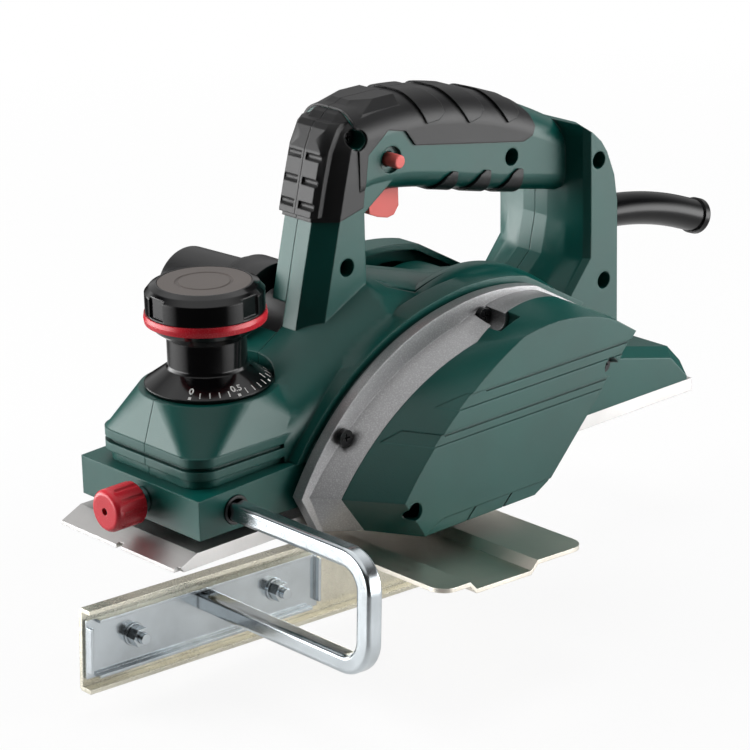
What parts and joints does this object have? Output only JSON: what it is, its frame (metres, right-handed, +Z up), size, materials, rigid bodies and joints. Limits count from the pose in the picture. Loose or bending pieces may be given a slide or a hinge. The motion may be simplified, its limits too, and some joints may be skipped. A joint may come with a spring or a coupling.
{
  "type": "electric hand planer",
  "caption": "Hand-held electric planer with a D handle, turn-knob depth setting, belt-driven cutter drum, side chip outlet and a sliding parallel guide.",
  "frame": {"origin": "middle of the rear sole's flat face", "axes": "+X towards the rear, nose at -X; +Y towards the chip outlet, belt cover at -Y; +Z up"},
  "size_m": [0.4154, 0.2095, 0.237],
  "materials": {
    "green_plastic": "satin, fine grain",
    "soft_rubber": "matt, fine grain",
    "black_satin": "satin",
    "black_gloss": "gloss",
    "grey_satin": "satin",
    "sleeve_black": "satin",
    "red_plastic": "satin",
    "cast_silver": "cast, silver lacquer",
    "sole_aluminium": "brushed",
    "steel": "machined",
    "blade_steel": "ground",
    "guard_steel": "brushed",
    "bright_zinc": "bright zinc plate",
    "yellow_zinc": "yellow passivated zinc",
    "black_screws": "black oxide",
    "belt_rubber": "ribbed",
    "lamination": "stacked sheet",
    "copper": "turned copper",
    "brass": "folded sheet",
    "carbon": "pressed carbon"
  },
  "bodies": {
    "body": {"rear_sole": "sole_aluminium", "sole_screws": "steel", "base_frame": "green_plastic", "rod_bush": "black_satin", "chip_duct": "black_satin", "chip_socket": "black_satin", "chip_ejector": "black_satin", "housing_left": "green_plastic", "housing_right": "green_plastic", "grip_rubber_left": "soft_rubber", "grip_rubber_right": "soft_rubber", "grip_pads": "soft_rubber", "bearing_plate": "cast_silver", "belt_cover": "green_plastic", "cover_screws": "black_screws", "housing_screws": "black_screws", "cutter_bearings": "steel", "motor_bearings": "steel", "belt": "belt_rubber", "stator": "lamination", "brush_holders": "brass", "brushes": "carbon", "switch_body": "black_satin", "cord_sleeve": "sleeve_black"},
    "front_shoe": {"front_sole": "sole_aluminium", "lift_nut": "steel"},
    "depth_knob": {"depth_dial": "black_gloss", "knob_ring": "red_plastic", "knob_cap": "black_gloss", "knob_inlay": "grey_satin", "depth_spindle": "steel"},
    "cutter": {"cutter_drum": "sole_aluminium", "blades": "blade_steel", "blade_bars": "steel", "blade_screws": "steel", "cutter_pulley": "black_satin"},
    "rotor": {"rotor_shaft": "steel", "rotor_core": "lamination", "commutator": "copper", "fan": "black_satin", "motor_pulley": "steel"},
    "trigger": {"trigger": "red_plastic"},
    "lock_button": {"lock_button": "red_plastic"},
    "parallel_guide": {"guide_bar": "bright_zinc", "guide_bracket": "bright_zinc", "fence_profile": "yellow_zinc", "cutter_guard": "guard_steel", "guide_bolts": "steel", "guide_nuts": "bright_zinc", "guide_washers": "bright_zinc"},
    "clamp": {"clamp_knob": "red_plastic", "clamp_collar": "steel", "clamp_screw": "steel"}
  },
  "joints": [
    {"name": "front_sole_lift", "type": "slide", "parent": "body", "child": "front_shoe", "axis": [0, 0, 1], "range_m": [-0.0015, 0.0011]},
    {"name": "depth_knob_turn", "type": "hinge", "parent": "body", "child": "depth_knob", "pos_m": [-0.1675, 0, 0.08], "axis": [0, 0, 1], "range_deg": [-103.13, 140.64]},
    {"name": "cutter_spin", "type": "hinge", "parent": "body", "child": "cutter", "pos_m": [-0.1175, 0, 0.024], "axis": [0, 1, 0], "continuous": true},
    {"name": "motor_spin", "type": "hinge", "parent": "body", "child": "rotor", "pos_m": [-0.024, 0, 0.045], "axis": [0, 1, 0], "continuous": true},
    {"name": "trigger_press", "type": "slide", "parent": "body", "child": "trigger", "axis": [0, 0, 1], "range_m": [0, 0.005], "stiffness_N_per_m": 600, "springref_m": -0.003},
    {"name": "lock_button_press", "type": "slide", "parent": "body", "child": "lock_button", "axis": [0, 1, 0], "range_m": [0, 0.003], "stiffness_N_per_m": 500, "springref_m": -0.002},
    {"name": "guide_slide", "type": "slide", "parent": "body", "child": "parallel_guide", "axis": [0, 1, 0], "range_m": [-0.023, 0.045]},
    {"name": "clamp_knob_turn", "type": "hinge", "parent": "body", "child": "clamp", "pos_m": [-0.22, -0.002, 0.0218], "axis": [-1, 0, 0], "range_deg": [0, 540]}
  ],
  "couplings": [
    {"joint": "depth_knob_turn", "follows": "front_sole_lift", "rad_per_m": -1636.2},
    {"joint": "motor_spin", "follows": "cutter_spin", "ratio": 1.2667}
  ]
}
